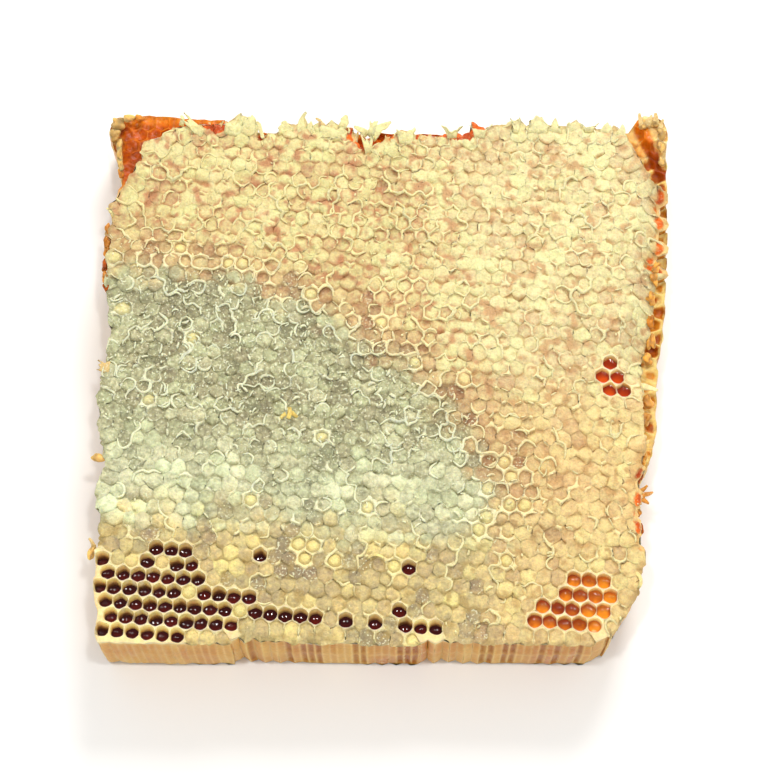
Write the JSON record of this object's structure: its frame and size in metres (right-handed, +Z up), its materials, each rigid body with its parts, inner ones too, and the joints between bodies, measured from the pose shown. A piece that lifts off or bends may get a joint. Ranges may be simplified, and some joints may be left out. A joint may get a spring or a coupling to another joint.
{
  "type": "honeycomb slab",
  "caption": "Flat square slab of capped honeycomb with hexagonal wax cells, patches of open honey-filled cells and torn wax edges.",
  "frame": {"origin": "centre of the slab's footprint, on its flat resting face", "axes": "+Z up through the slab to the capped cells, +X along the rows of cells to the right, +Y away from the viewer to the torn back edge"},
  "size_m": [0.2105, 0.2076, 0.0367],
  "materials": {
    "wax_caps": "satin",
    "cell_walls": "satin",
    "honey": "gloss"
  },
  "bodies": {
    "root": {"comb": "wax_caps"}
  },
  "joints": []
}
